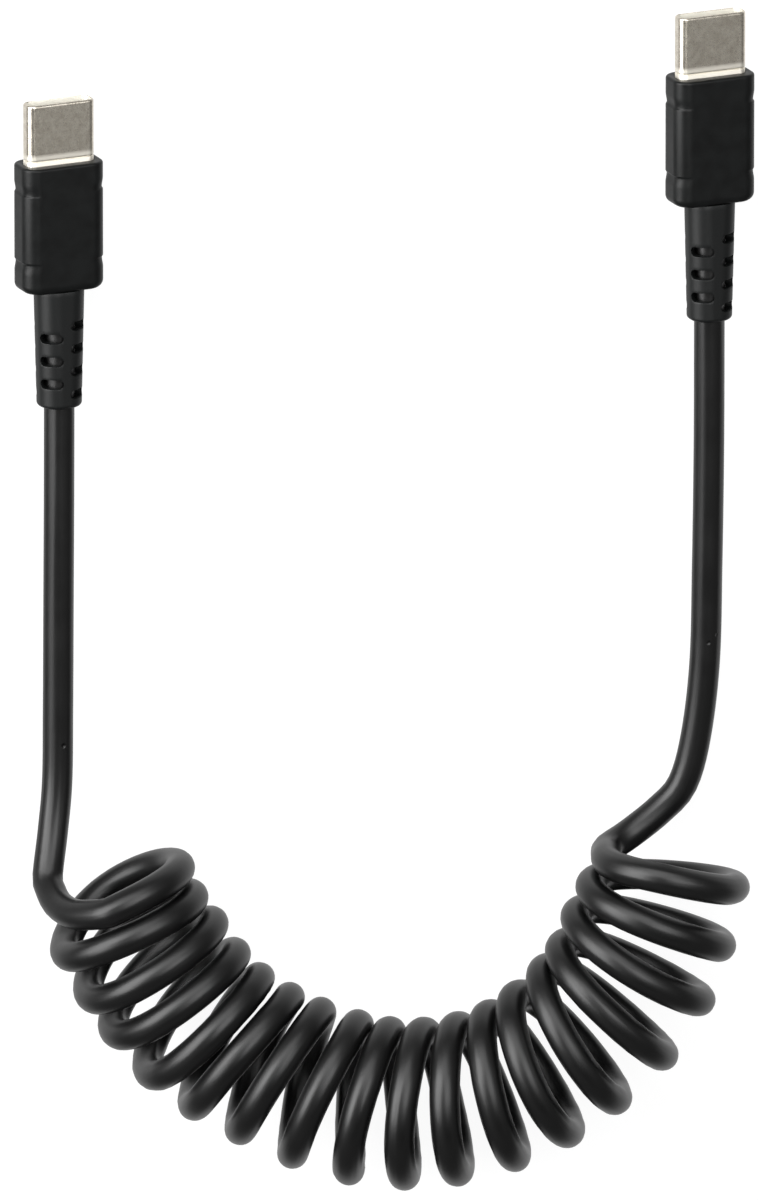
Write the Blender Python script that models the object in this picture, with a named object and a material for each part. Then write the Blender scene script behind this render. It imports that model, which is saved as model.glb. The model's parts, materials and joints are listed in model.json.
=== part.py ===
# Coiled charging cable with the same reversible metal plug on each end, lying on a level floor.
# Metres, +Z up. +Y is the way both plugs point, and the floor is at Z = 0.
# Each plug is modelled about its own axis: x across its width, y towards its tip, z through its thickness.

import bmesh
import bpy
from math import ceil, cos, pi, radians, sin
from mathutils import Vector

# Plug shell: a drawn metal tube with round edges and a rounded mouth.
SHELL_WIDTH = 0.00825
SHELL_THICKNESS = 0.0024
SHELL_CORNER = 0.00085
SHELL_WALL = 0.0003
SHELL_NOSE = 0.00012
SHELL_EXPOSED = 0.00715
SHELL_SEAT = 0.003

# Contact block: the moulded block inside the shell, with a slot for the other side's tongue.
BLOCK_SETBACK = 0.0008
BLOCK_GAP = 0.00015
BLOCK_CORNER = 0.0005
TONGUE_SIDE_WALL = 0.00037
TONGUE_FACE_WALL = 0.00037
TONGUE_SLOT_DEPTH = 0.005
TONGUE_SLOT_CORNER = 0.0001

# Plug housing: a moulded body with rounded edges. Each narrow side has a finger grip between two
# shallow dips, each with a long slope on its outer side and a short step up to the grip. Its rear
# edge is rounder at the narrow sides than on the two faces, where the cord's hole leaves less wall.
HOUSING_LENGTH = 0.0149
HOUSING_WIDTH = 0.00995
HOUSING_THICKNESS = 0.0051
HOUSING_CORNER = 0.0017
HOUSING_FRONT_EDGE = 0.0003
HOUSING_REAR_SIDE_EDGE = 0.0009
HOUSING_REAR_FACE_EDGE = 0.0004
HOUSING_REAR_WALL = 0.0001
GRIP_START = 0.0031
GRIP_LENGTH = 0.0083
GRIP_DEPTH = 0.00015
GRIP_SLOPE = 0.0012
GRIP_STEP = 0.0003

# Strain relief: a tapered oval sleeve around the cord, against the housing's rear face, with four
# columns of windows. Its walls are measured at its thin end.
RELIEF_LENGTH = 0.0139
RELIEF_SIDE_WALL = 0.0006
RELIEF_FACE_WALL = 0.0004
RELIEF_SIDE_TAPER = 0.00065
RELIEF_FACE_TAPER = 0.0001
RELIEF_CORNER = 0.0022
RELIEF_END_EDGE = 0.0004
WINDOW_START = 0.00165
WINDOW_HEIGHT = 0.00125
WINDOW_PITCH = 0.0027
WINDOW_ANGLE = radians(66)

# Cord: one round jacketed cable, straight at both ends and wound into a curly coil between.
CORD_DIAMETER = 0.0035
CORD_BORE_GAP = 0.0002
CORD_SEAT = 0.0015
COIL_DIAMETER = 0.0192

SEAT_GAP = 0.0003
FLOOR_GAP = 0.00002

# How the two plugs lie: each rolled onto its right edge, the right one further up.
PLUG_ROLL = radians(28.7)
PLUG_SPACING = 0.0741
PLUG_STAGGER = 0.01206

# Hand-chosen routes, in metres. The tails start where their strain reliefs end.
TAIL_LEFT_ROUTE = (
    (-0.0371, -0.0350, 0.0040),
    (-0.0372, -0.0474, 0.0039),
    (-0.0373, -0.0600, 0.0038),
    (-0.0374, -0.0688, 0.0040),
    (-0.0378, -0.0744, 0.0052),
    (-0.0382, -0.0790, 0.0075),
)
TAIL_RIGHT_ROUTE = (
    (0.0370, -0.0270, 0.0034),
    (0.0368, -0.0412, 0.0028),
    (0.0365, -0.0532, 0.0022),
    (0.0355, -0.0622, 0.0020),
    (0.0340, -0.0679, 0.0021),
    (0.0315, -0.0709, 0.0025),
)
COIL_ROUTE = (
    (-0.0301, -0.0782),
    (-0.0284, -0.0835),
    (-0.0259, -0.0878),
    (-0.0199, -0.0954),
    (-0.0112, -0.1010),
    (-0.0016, -0.1043),
    (0.0084, -0.1039),
    (0.0183, -0.0997),
    (0.0266, -0.0917),
    (0.0313, -0.0814),
    (0.0335, -0.0749),
    (0.0341, -0.0732),
)
TAIL_POINT_SPACING = 2 * CORD_DIAMETER
COIL_POINT_SPACING = 0.0045
TAIL_BEVEL_STEPS = 2
COIL_BEVEL_STEPS = 6

MERGE_DISTANCE = 0.000001
CORNER_STEPS = 4
EDGE_STEPS = 2
WINDOW_STEPS = 4

PLUG_LENGTH = SHELL_EXPOSED + HOUSING_LENGTH + RELIEF_LENGTH
CORD_BORE = CORD_DIAMETER / 2 + CORD_BORE_GAP


def material(name, color, roughness, metallic=0.0):
    made = bpy.data.materials.new(name)
    made.use_nodes = True
    shader = made.node_tree.nodes["Principled BSDF"]
    shader.inputs["Base Color"].default_value = (*color, 1.0)
    shader.inputs["Roughness"].default_value = roughness
    shader.inputs["Metallic"].default_value = metallic
    return made


# Sections and rings

def rounded_section(width, thickness, corner):
    """Points (x, z) around a rectangle with round corners, anticlockwise."""
    points = []
    for quarter, (side_x, side_z) in enumerate(((1, 1), (-1, 1), (-1, -1), (1, -1))):
        centre_x = side_x * (width / 2 - corner)
        centre_z = side_z * (thickness / 2 - corner)
        for step in range(CORNER_STEPS + 1):
            angle = (quarter + step / CORNER_STEPS) * pi / 2
            points.append((centre_x + corner * cos(angle), centre_z + corner * sin(angle)))
    return points


def ring(y, width, thickness, corner):
    return [Vector((x, y, z)) for x, z in rounded_section(width, thickness, corner)]


def inset_ring(y, width, thickness, corner, inset):
    """The section made smaller by the inset on every side."""
    return ring(y, width - 2 * inset, thickness - 2 * inset, corner - inset)


def rounded_edge(radius):
    """Pairs (distance from the end, inset) along a quarter round, from the end face inwards."""
    angles = [step / EDGE_STEPS * pi / 2 for step in range(EDGE_STEPS + 1)]
    return [(radius * (1 - cos(angle)), radius * (1 - sin(angle))) for angle in angles]


# Meshes

def finish_mesh(name, shape, parent, look):
    bmesh.ops.recalc_face_normals(shape, faces=shape.faces)
    mesh = bpy.data.meshes.new(name)
    shape.to_mesh(mesh)
    shape.free()
    mesh.shade_smooth()
    mesh.set_sharp_from_angle(angle=radians(35))
    made = bpy.data.objects.new(name, mesh)
    made.data.materials.append(look)
    made.parent = parent
    bpy.context.scene.collection.objects.link(made)
    return made


def loft(name, rings, parent, look, closed=False):
    """Skins rings of equal length, with an end cap on each end or joined last to first.

    A full round has no flats, so the points where its quarters meet are merged.
    """
    shape = bmesh.new()
    loops = [[shape.verts.new(point) for point in points] for points in rings]
    pairs = list(zip(loops, loops[1:]))
    if closed:
        pairs.append((loops[-1], loops[0]))
    else:
        shape.faces.new(loops[0])
        shape.faces.new(loops[-1])
    for first, second in pairs:
        for here in range(len(first)):
            after = (here + 1) % len(first)
            shape.faces.new((first[here], first[after], second[after], second[here]))
    bmesh.ops.remove_doubles(shape, verts=shape.verts, dist=MERGE_DISTANCE)
    return finish_mesh(name, shape, parent, look)


def make_plug_shell(side, parent, look):
    outer = (SHELL_WIDTH, SHELL_THICKNESS, SHELL_CORNER)
    rings = [
        inset_ring(SHELL_EXPOSED - back, *outer, inset)
        for back, inset in rounded_edge(SHELL_NOSE)
    ]
    rings.append(ring(-SHELL_SEAT, *outer))
    rings.append(inset_ring(-SHELL_SEAT, *outer, SHELL_WALL))
    rings.append(inset_ring(SHELL_EXPOSED, *outer, SHELL_WALL))
    return loft("plug_shell_" + side, rings, parent, look, closed=True)


def make_contact_block(side, parent, look):
    front = SHELL_EXPOSED - BLOCK_SETBACK
    width = SHELL_WIDTH - 2 * (SHELL_WALL + BLOCK_GAP)
    thickness = SHELL_THICKNESS - 2 * (SHELL_WALL + BLOCK_GAP)
    block = (width, thickness, BLOCK_CORNER)
    slot = (width - 2 * TONGUE_SIDE_WALL, thickness - 2 * TONGUE_FACE_WALL, TONGUE_SLOT_CORNER)
    rings = [
        ring(front - TONGUE_SLOT_DEPTH, *slot),
        ring(front, *slot),
        ring(front, *block),
        ring(-SHELL_SEAT, *block),
    ]
    return loft("contact_block_" + side, rings, parent, look)


def make_plug_housing(side, parent, look):
    body = (HOUSING_WIDTH, HOUSING_THICKNESS, HOUSING_CORNER)
    dipped = (HOUSING_WIDTH - 2 * GRIP_DEPTH, HOUSING_THICKNESS, HOUSING_CORNER)
    front_pocket = (SHELL_WIDTH, SHELL_THICKNESS, SHELL_CORNER)
    cord_hole = (2 * CORD_BORE, 2 * CORD_BORE, CORD_BORE)
    face_edge = min(HOUSING_REAR_FACE_EDGE, HOUSING_THICKNESS / 2 - CORD_BORE - HOUSING_REAR_WALL)
    grip_end = GRIP_START + GRIP_LENGTH
    rings = [
        inset_ring(-SHELL_SEAT - SEAT_GAP, *front_pocket, -SEAT_GAP),
        inset_ring(0, *front_pocket, -SEAT_GAP),
    ]
    rings += [inset_ring(-back, *body, inset) for back, inset in rounded_edge(HOUSING_FRONT_EDGE)]
    rings += [
        ring(-GRIP_START + GRIP_SLOPE, *body),
        ring(-GRIP_START, *dipped),
        ring(-GRIP_START - GRIP_STEP, *body),
        ring(-grip_end + GRIP_STEP, *body),
        ring(-grip_end, *dipped),
        ring(-grip_end - GRIP_SLOPE, *body),
    ]
    for back, inset in reversed(rounded_edge(HOUSING_REAR_SIDE_EDGE)):
        face_inset = inset * face_edge / HOUSING_REAR_SIDE_EDGE
        width = HOUSING_WIDTH - 2 * inset
        thickness = HOUSING_THICKNESS - 2 * face_inset
        rings.append(ring(back - HOUSING_LENGTH, width, thickness, HOUSING_CORNER - face_inset))
    rings += [
        ring(-HOUSING_LENGTH, *cord_hole),
        ring(CORD_SEAT + SEAT_GAP - HOUSING_LENGTH, *cord_hole),
    ]
    return loft("plug_housing_" + side, rings, parent, look)


def relief_window_columns():
    """Each column's angle and its windows' heights above the sleeve's end."""
    columns = []
    for quarter in range(4):
        long_column = quarter % 2 == 0
        first, count = (0.0, 4) if long_column else (0.5, 3)
        heights = [WINDOW_START + (first + step) * WINDOW_PITCH for step in range(count)]
        columns.append((radians(45 + 90 * quarter), heights))
    return columns


def section_radius(angle, width, thickness, corner):
    """How far the edge of a rectangle with round corners lies from its centre, at this angle."""
    along = abs(cos(angle))
    across = abs(sin(angle))
    centre_x = width / 2 - corner
    centre_z = thickness / 2 - corner
    if centre_z * along >= width / 2 * across:
        return width / 2 / along
    if centre_x * across >= thickness / 2 * along:
        return thickness / 2 / across
    reach = centre_x * along + centre_z * across
    return reach + (reach ** 2 - centre_x ** 2 - centre_z ** 2 + corner ** 2) ** 0.5


def make_strain_relief(side, parent, look):
    """A sleeve made as a grid of rings, with the faces left out where a window goes."""
    columns = relief_window_columns()
    angles = []
    for middle, _ in columns:
        start = middle - WINDOW_ANGLE / 2
        angles += [start + step / WINDOW_STEPS * WINDOW_ANGLE for step in range(WINDOW_STEPS + 1)]
        angles.append(middle + pi / 4)
    windows = {
        (column, height)
        for column, (_, heights) in enumerate(columns)
        for height in heights
    }
    edges = {height + half for _, height in windows for half in (-WINDOW_HEIGHT / 2, WINDOW_HEIGHT / 2)}
    end_edge = rounded_edge(RELIEF_END_EDGE)
    levels = sorted({RELIEF_LENGTH - SEAT_GAP} | edges | {back for back, _ in end_edge})
    insets = dict(end_edge)
    base = -HOUSING_LENGTH - RELIEF_LENGTH

    shape = bmesh.new()
    outer = []
    inner = []
    for level in levels:
        share = level / RELIEF_LENGTH
        width = 2 * (CORD_BORE + RELIEF_SIDE_WALL) + share * RELIEF_SIDE_TAPER
        thickness = 2 * (CORD_BORE + RELIEF_FACE_WALL) + share * RELIEF_FACE_TAPER
        inset = insets.get(level, 0.0)
        outer_radii = [section_radius(a, width, thickness, RELIEF_CORNER) - inset for a in angles]
        pairs = list(zip(angles, outer_radii))
        outer.append([shape.verts.new((r * cos(a), base + level, r * sin(a))) for a, r in pairs])
        bore = [(CORD_BORE * cos(a), base + level, CORD_BORE * sin(a)) for a in angles]
        inner.append([shape.verts.new(point) for point in bore])

    for row in range(len(levels) - 1):
        middle = (levels[row] + levels[row + 1]) / 2
        for here in range(len(angles)):
            column, step = divmod(here, WINDOW_STEPS + 2)
            open_here = step < WINDOW_STEPS and any(
                of_column == column and abs(middle - height) < WINDOW_HEIGHT / 2
                for of_column, height in windows
            )
            if open_here:
                continue
            after = (here + 1) % len(angles)
            for loops in (outer, inner):
                shape.faces.new(
                    (loops[row][here], loops[row][after], loops[row + 1][after], loops[row + 1][here])
                )
    partner = {
        vertex: inner[row][column]
        for row, loop in enumerate(outer)
        for column, vertex in enumerate(loop)
    }
    rims = [edge for edge in shape.edges if edge.is_boundary and edge.verts[0] in partner]
    for edge in rims:
        first, second = edge.verts
        shape.faces.new((first, second, partner[second], partner[first]))
    loose = [vertex for vertex in shape.verts if not vertex.link_faces]
    bmesh.ops.delete(shape, geom=loose, context="VERTS")
    return finish_mesh("strain_relief_" + side, shape, parent, look)


# Cord

def smooth_path(points, spacing):
    """Evenly spaced points on the Catmull-Rom curve through the route's own points."""
    points = [Vector(point) for point in points]
    ends = [2 * points[0] - points[1], *points, 2 * points[-1] - points[-2]]
    fine = []
    for before, start, stop, after in zip(ends, ends[1:], ends[2:], ends[3:]):
        for step in range(40):
            t = step / 40
            fine.append(
                0.5 * (
                    2 * start
                    + (stop - before) * t
                    + (2 * before - 5 * start + 4 * stop - after) * t * t
                    + (3 * start - before - 3 * stop + after) * t ** 3
                )
            )
    fine.append(points[-1])
    run = [0.0]
    for first, second in zip(fine, fine[1:]):
        run.append(run[-1] + (second - first).length)
    count = ceil(run[-1] / spacing)
    path = []
    index = 0
    for step in range(count + 1):
        target = run[-1] * step / count
        while index < len(fine) - 2 and run[index + 1] < target:
            index += 1
        share = (target - run[index]) / (run[index + 1] - run[index])
        path.append(fine[index].lerp(fine[index + 1], share))
    return path


def make_cord_solid(name, path, radius, bevel_steps, look):
    curve = bpy.data.curves.new(name, "CURVE")
    curve.dimensions = "3D"
    curve.bevel_depth = radius
    curve.bevel_resolution = bevel_steps
    curve.use_fill_caps = True
    spline = curve.splines.new("POLY")
    spline.points.add(len(path) - 1)
    for point, place in zip(spline.points, path):
        point.co = (*place, 1.0)
    curve.materials.append(look)
    made = bpy.data.objects.new(name, curve)
    bpy.context.scene.collection.objects.link(made)
    return made


def tail_path(plug, route):
    """From the hole in the housing, straight through the strain relief, then along the route."""
    in_hole = CORD_SEAT - HOUSING_LENGTH
    relief_end = -HOUSING_LENGTH - RELIEF_LENGTH
    inside = [in_hole, (in_hole + relief_end) / 2, relief_end]
    start = [plug.location + Vector((0, y, 0)) for y in inside]
    return smooth_path([*start, *route], TAIL_POINT_SPACING)


def make_plug(side, place, looks):
    plug = bpy.data.objects.new("plug_" + side, None)
    plug.empty_display_size = HOUSING_WIDTH
    plug.location = place
    plug.rotation_euler = (0, PLUG_ROLL, 0)
    bpy.context.scene.collection.objects.link(plug)
    make_plug_shell(side, plug, looks["plug_metal"])
    make_contact_block(side, plug, looks["contact_block"])
    make_plug_housing(side, plug, looks["housing"])
    make_strain_relief(side, plug, looks["strain_relief"])
    return plug


def plug_height():
    """Height of a plug's axis when its housing lies on one rounded edge at the roll angle."""
    flat_width = HOUSING_WIDTH / 2 - HOUSING_CORNER
    flat_thickness = HOUSING_THICKNESS / 2 - HOUSING_CORNER
    return flat_width * sin(PLUG_ROLL) + flat_thickness * cos(PLUG_ROLL) + HOUSING_CORNER


def build():
    for old in list(bpy.data.objects):
        bpy.data.objects.remove(old, do_unlink=True)
    looks = {
        "plug_metal": material("plug_metal", (0.42, 0.40, 0.36), 0.32, 1.0),
        "contact_block": material("contact_block", (0.03, 0.03, 0.03), 0.55),
        "housing": material("housing", (0.012, 0.013, 0.014), 0.5),
        "strain_relief": material("strain_relief", (0.014, 0.015, 0.016), 0.55),
        "cord_jacket": material("cord_jacket", (0.011, 0.011, 0.012), 0.35),
    }
    # The plugs' own box is centred on the origin along X and Y.
    left_shoulder = (PLUG_LENGTH - PLUG_STAGGER) / 2 - SHELL_EXPOSED
    right_shoulder = left_shoulder + PLUG_STAGGER
    height = plug_height()
    left = make_plug("left", (-PLUG_SPACING / 2, left_shoulder, height), looks)
    right = make_plug("right", (PLUG_SPACING / 2, right_shoulder, height), looks)

    cord_radius = CORD_DIAMETER / 2
    tail_left = tail_path(left, TAIL_LEFT_ROUTE)
    tail_right = tail_path(right, TAIL_RIGHT_ROUTE)
    coil_height = COIL_DIAMETER / 2 + FLOOR_GAP
    coil_axis = smooth_path([(x, y, coil_height) for x, y in COIL_ROUTE], COIL_POINT_SPACING)
    jacket = looks["cord_jacket"]
    make_cord_solid("tail_left", tail_left, cord_radius, TAIL_BEVEL_STEPS, jacket)
    make_cord_solid("tail_right", tail_right, cord_radius, TAIL_BEVEL_STEPS, jacket)
    make_cord_solid("coil", coil_axis, COIL_DIAMETER / 2, COIL_BEVEL_STEPS, jacket)


build()
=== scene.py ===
# Coiled charging cable: the looks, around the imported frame. Metres, +Z up.
# Each plug is made about its own axis: x across its width, y towards its tip, z through its thickness.
import json
from math import ceil, cos, pi, radians, sin, sqrt

import bmesh
import bpy
from mathutils import Matrix, Vector

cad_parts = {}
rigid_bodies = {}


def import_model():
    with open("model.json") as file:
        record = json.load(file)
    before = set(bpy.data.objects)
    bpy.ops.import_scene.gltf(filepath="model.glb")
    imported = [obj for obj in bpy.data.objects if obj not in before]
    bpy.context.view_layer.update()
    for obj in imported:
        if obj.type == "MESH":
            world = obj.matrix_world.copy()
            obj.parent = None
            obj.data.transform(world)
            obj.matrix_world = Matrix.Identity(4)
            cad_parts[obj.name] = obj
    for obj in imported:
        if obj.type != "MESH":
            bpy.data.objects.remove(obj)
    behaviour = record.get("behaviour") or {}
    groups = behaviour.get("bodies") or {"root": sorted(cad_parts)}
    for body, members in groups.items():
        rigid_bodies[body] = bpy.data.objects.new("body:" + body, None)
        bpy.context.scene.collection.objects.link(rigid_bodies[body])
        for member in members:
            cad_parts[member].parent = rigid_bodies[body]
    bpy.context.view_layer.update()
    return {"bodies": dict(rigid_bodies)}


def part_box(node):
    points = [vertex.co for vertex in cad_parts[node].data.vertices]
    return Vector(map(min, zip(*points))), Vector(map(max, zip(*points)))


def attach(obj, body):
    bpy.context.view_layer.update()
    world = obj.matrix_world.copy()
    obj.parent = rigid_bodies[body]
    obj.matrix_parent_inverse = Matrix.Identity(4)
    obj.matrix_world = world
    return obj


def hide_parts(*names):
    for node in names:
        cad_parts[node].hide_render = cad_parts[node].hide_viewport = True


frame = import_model()
body = next(iter(frame["bodies"]))
mm = 0.001
sides = ("left", "right")
sharpAngle = radians(38)  # edges past this stay sharp
arcShare = 0.3  # how far in a small rounded edge's middle lies, as a share of its radius


# Shared helpers

# sRGB hex to the linear values that a shader socket takes.
def hexColour(code, alpha=1.0):
    linear = []
    for start in (1, 3, 5):
        value = int(code[start:start + 2], 16) / 255
        linear.append(value / 12.92 if value <= 0.04045 else ((value + 0.055) / 1.055) ** 2.4)
    return (*linear, alpha)


def addNode(tree, kind, values=None, links=None, **settings):
    node = tree.nodes.new(kind)
    for name, setting in settings.items():
        setattr(node, name, setting)
    for key, value in (values or {}).items():
        node.inputs[key].default_value = value
    for key, source in (links or {}).items():
        tree.links.new(source, node.inputs[key])
    return node


def newMaterial(name):
    material = bpy.data.materials.new(name)
    material.use_nodes = True
    return material, material.node_tree, material.node_tree.nodes["Principled BSDF"]


# Closed shape, with its faces out and its sharp edges marked
def objectFromBmesh(name, shape, material):
    bmesh.ops.recalc_face_normals(shape, faces=shape.faces)
    mesh = bpy.data.meshes.new(name)
    shape.to_mesh(mesh)
    shape.free()
    mesh.materials.append(material)
    mesh.shade_smooth()
    mesh.set_sharp_from_angle(angle=sharpAngle)
    made = bpy.data.objects.new(name, mesh)
    bpy.context.scene.collection.objects.link(made)
    return made


# Modifiers made permanent, as a plain mesh under the same name
def applyModifiers(made):
    graph = bpy.context.evaluated_depsgraph_get()
    mesh = bpy.data.meshes.new_from_object(made.evaluated_get(graph))
    made.modifiers.clear()
    made.data = mesh


# Camera: straight down on the cable, leaning 17 degrees towards the plugs' tips

cameraView = {
    "target": Vector((-0.0001, -0.04465, 0.0096)),
    "towardsCamera": Vector((0.078, 0.290, 0.954)),
    "imageRight": Vector((0.9968, 0.0, -0.0814)),
    "distance": 4.0,  # a long lens from far off: the photo has next to no perspective
    "tallView": 0.1364,  # what the 1200 pixels of the photo's height cover, in metres
    "sensor": 36.0,
}


def makeCamera(settings):
    back = settings["towardsCamera"].normalized()
    right = settings["imageRight"].normalized()
    up = back.cross(right).normalized()
    right = up.cross(back)
    data = bpy.data.cameras.new("camera")
    data.sensor_width = settings["sensor"]
    data.lens = settings["sensor"] * settings["distance"] / settings["tallView"]
    camera = bpy.data.objects.new("camera", data)
    turn = Matrix((right, up, back)).transposed().to_4x4()
    place = settings["target"] + back * settings["distance"]
    camera.matrix_world = Matrix.Translation(place) @ turn
    bpy.context.scene.collection.objects.link(camera)
    bpy.context.scene.camera = camera


makeCamera(cameraView)
print("camera made")


# Cord: one jacketed cable, with its coil worked out turn by turn

cordSettings = {
    "diameter": 3.5 * mm,
    "coilDiameter": 19.2 * mm,
    "turns": 18,
    "pointsPerTurn": 48,
    "sides": 28,
    "splineSteps": 24,
    "axisSteps": 40,
    "tailSpacing": 1.2 * mm,
    "floorGap": 0.02 * mm,
}

# The routes' own points, as in the frame's solids, in metres
tailLeftRoute = (
    (-0.0371, -0.0350, 0.0040),
    (-0.0372, -0.0474, 0.0039),
    (-0.0373, -0.0600, 0.0038),
    (-0.0374, -0.0688, 0.0040),
    (-0.0378, -0.0744, 0.0052),
    (-0.0382, -0.0790, 0.0075),
)
tailRightRoute = (
    (0.0370, -0.0270, 0.0034),
    (0.0368, -0.0412, 0.0028),
    (0.0365, -0.0532, 0.0022),
    (0.0355, -0.0622, 0.0020),
    (0.0340, -0.0679, 0.0021),
    (0.0315, -0.0709, 0.0025),
)
coilRoute = (
    (-0.0301, -0.0782),
    (-0.0284, -0.0835),
    (-0.0259, -0.0878),
    (-0.0199, -0.0954),
    (-0.0112, -0.1010),
    (-0.0016, -0.1043),
    (0.0084, -0.1039),
    (0.0183, -0.0997),
    (0.0266, -0.0917),
    (0.0313, -0.0814),
    (0.0335, -0.0749),
    (0.0341, -0.0732),
)
# The hook that leads the left tail up over the first turn
hookLeft = (
    (-0.0379, -0.0801, 0.0086),
    (-0.0367, -0.0813, 0.0112),
    (-0.0346, -0.0815, 0.0142),
    (-0.0323, -0.0809, 0.0162),
)
# Where the last turn lets go and the right tail runs out along the floor
hookRight = (
    (0.0258, -0.0746, 0.0062),
    (0.0280, -0.0736, 0.0038),
)
# How far along the coil's axis each turn lies, and in mm how far its inner side is pushed along
turnPlaces = {
    1: 2.2, 2: 5.5, 3: 10.45, 4: 15.2, 5: 20.55, 6: 25.7, 7: 30.5, 8: 36.1, 9: 41.35,
    10: 46.5, 11: 51.6, 12: 57.0, 13: 62.3, 14: 68.1, 15: 74.0, 16: 79.7, 17: 85.1, 18: 90.5,
}
turnLeans = {
    1: -2.2, 2: -0.9, 3: -0.4, 4: -0.6, 5: -0.15, 6: 0.1, 7: -0.3, 8: -0.45, 9: -0.25,
    10: 0.0, 11: 0.4, 12: 0.3, 13: 0.3, 14: 0.7, 15: 0.5, 16: 0.45, 17: -0.95, 18: -1.9,
}
# The same for a turn's top, and its underside is pushed back
topLeans = {
    1: -0.3, 3: 0.4, 4: 0.4, 5: 0.05, 6: -1.1, 7: -1.0, 9: -1.1, 11: -1.0, 12: -0.7,
    13: -0.9, 14: -0.5, 15: -0.1, 16: 0.15, 17: 0.75, 18: 1.2,
}
undersideLeans = {1: 1.2, 5: 0.5, 9: 0.0, 13: 0.0, 15: 0.6, 18: 0.6}
# How much longer than round a turn lies across the coil, in mm of radius, and how far out it lies
turnSwells = {
    1: -0.1, 2: 0.05, 3: 0.3, 5: 0.4, 7: 0.2, 8: 0.4, 10: 0.35, 12: 0.25, 14: 0.4,
    16: 0.6, 17: 0.3, 18: -0.4,
}
turnShifts = {
    1: 0.7, 3: 0.35, 5: 0.45, 7: 0.2, 8: 0.05, 10: 0.1, 12: 0.2, 14: 0.0, 16: 0.2, 18: -0.1,
}


# Points on the Catmull-Rom curve through these points.
def splineThrough(points, steps):
    points = [Vector(point) for point in points]
    ends = [2 * points[0] - points[1], *points, 2 * points[-1] - points[-2]]
    fine = []
    for before, start, stop, after in zip(ends, ends[1:], ends[2:], ends[3:]):
        for step in range(steps):
            t = step / steps
            fine.append(
                0.5 * (
                    2 * start
                    + (stop - before) * t
                    + (2 * before - 5 * start + 4 * stop - after) * t * t
                    + (3 * start - before - 3 * stop + after) * t ** 3
                )
            )
    fine.append(points[-1])
    return fine


def runLengths(points):
    run = [0.0]
    for first, second in zip(points, points[1:]):
        run.append(run[-1] + (second - first).length)
    return run


# The point this far along a line of points, and the line's direction there.
def pointAlong(points, run, distance):
    index = 0
    while index < len(points) - 2 and run[index + 1] < distance:
        index += 1
    step = points[index + 1] - points[index]
    share = (distance - run[index]) / (run[index + 1] - run[index])
    return points[index] + step * share, step.normalized()


def evenly(points, spacing):
    run = runLengths(points)
    count = ceil(run[-1] / spacing)
    return [pointAlong(points, run, run[-1] * step / count)[0] for step in range(count + 1)]


# A smooth value between hand-set keys.
def keyed(keys, at):
    places = sorted(keys)
    if at <= places[0]:
        slope = (keys[places[1]] - keys[places[0]]) / (places[1] - places[0])
        return keys[places[0]] + slope * (at - places[0])
    if at >= places[-1]:
        slope = (keys[places[-1]] - keys[places[-2]]) / (places[-1] - places[-2])
        return keys[places[-1]] + slope * (at - places[-1])
    after = next(i for i, place in enumerate(places) if place > at)
    last = len(places) - 1
    nearest = [places[max(min(index, last), 0)] for index in range(after - 2, after + 2)]
    a, b, c, d = (keys[place] for place in nearest)
    span = nearest[2] - nearest[1]
    t = (at - nearest[1]) / span
    slopeIn = (c - a) / (nearest[2] - nearest[0]) * span
    slopeOut = (d - b) / (nearest[3] - nearest[1]) * span
    return (
        b * (1 + 2 * t) * (1 - t) ** 2 + slopeIn * t * (1 - t) ** 2
        + c * t * t * (3 - 2 * t) + slopeOut * t * t * (t - 1)
    )


# The coil's turns, from the top of the first to the inner side of the last.
def coilPoints(settings):
    lowest = settings["diameter"] / 2 + settings["floorGap"]
    axis = splineThrough([(x, y, lowest) for x, y in coilRoute], settings["axisSteps"])
    run = runLengths(axis)
    steps = settings["pointsPerTurn"]
    points = []
    for count in range(round((settings["turns"] - 0.75) * steps) + 1):
        turn = 1 + count / steps
        angle = pi / 2 - 2 * pi * (turn - 1)
        upper = (1 + sin(angle)) / 2
        lift = keyed(topLeans, turn) * upper + keyed(undersideLeans, turn) * (1 - upper)
        lean = keyed(turnLeans, turn) * cos(angle) + lift * sin(angle)
        place = (keyed(turnPlaces, turn) + lean) * mm
        onAxis = min(max(place, 0.0), run[-1])
        centre, ahead = pointAlong(axis, run, onAxis)
        centre += ahead * (place - onAxis)
        inward = Vector((-ahead.y, ahead.x, 0.0))
        centre -= inward * keyed(turnShifts, turn) * mm
        radius = (settings["coilDiameter"] - settings["diameter"]) / 2
        reach = radius + keyed(turnSwells, turn) * mm
        rise = radius * (1 + sin(angle))
        points.append(centre + reach * cos(angle) * inward + Vector((0, 0, rise)))
    return points


# Where a plug's axis meets the flat front of its housing.
def plugAxis(side):
    low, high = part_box("plug_shell_" + side)
    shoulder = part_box("plug_housing_" + side)[1].y
    return Vector(((low.x + high.x) / 2, shoulder, (low.z + high.z) / 2))


# From the hole in the left housing, through the coil, to the hole in the right one.
def cordRoute(settings):
    ends = {}
    for side in sides:
        axis = plugAxis(side)
        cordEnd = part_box("tail_" + side)[1].y
        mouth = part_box("strain_relief_" + side)[0].y
        ends[side] = [Vector((axis.x, y, axis.z)) for y in (cordEnd, (cordEnd + mouth) / 2, mouth)]
    coil = coilPoints(settings)
    steps = settings["splineSteps"]
    leftRoute = [*ends["left"], *tailLeftRoute, *hookLeft, coil[0], coil[2]]
    rightRoute = [coil[-3], coil[-1], *hookRight, *reversed(tailRightRoute), *reversed(ends["right"])]
    left = splineThrough(leftRoute, steps)[:-steps]
    right = splineThrough(rightRoute, steps)[steps:]
    return [
        *evenly(left, settings["tailSpacing"])[:-1],
        *coil,
        *evenly(right, settings["tailSpacing"])[1:],
    ], ends


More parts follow.
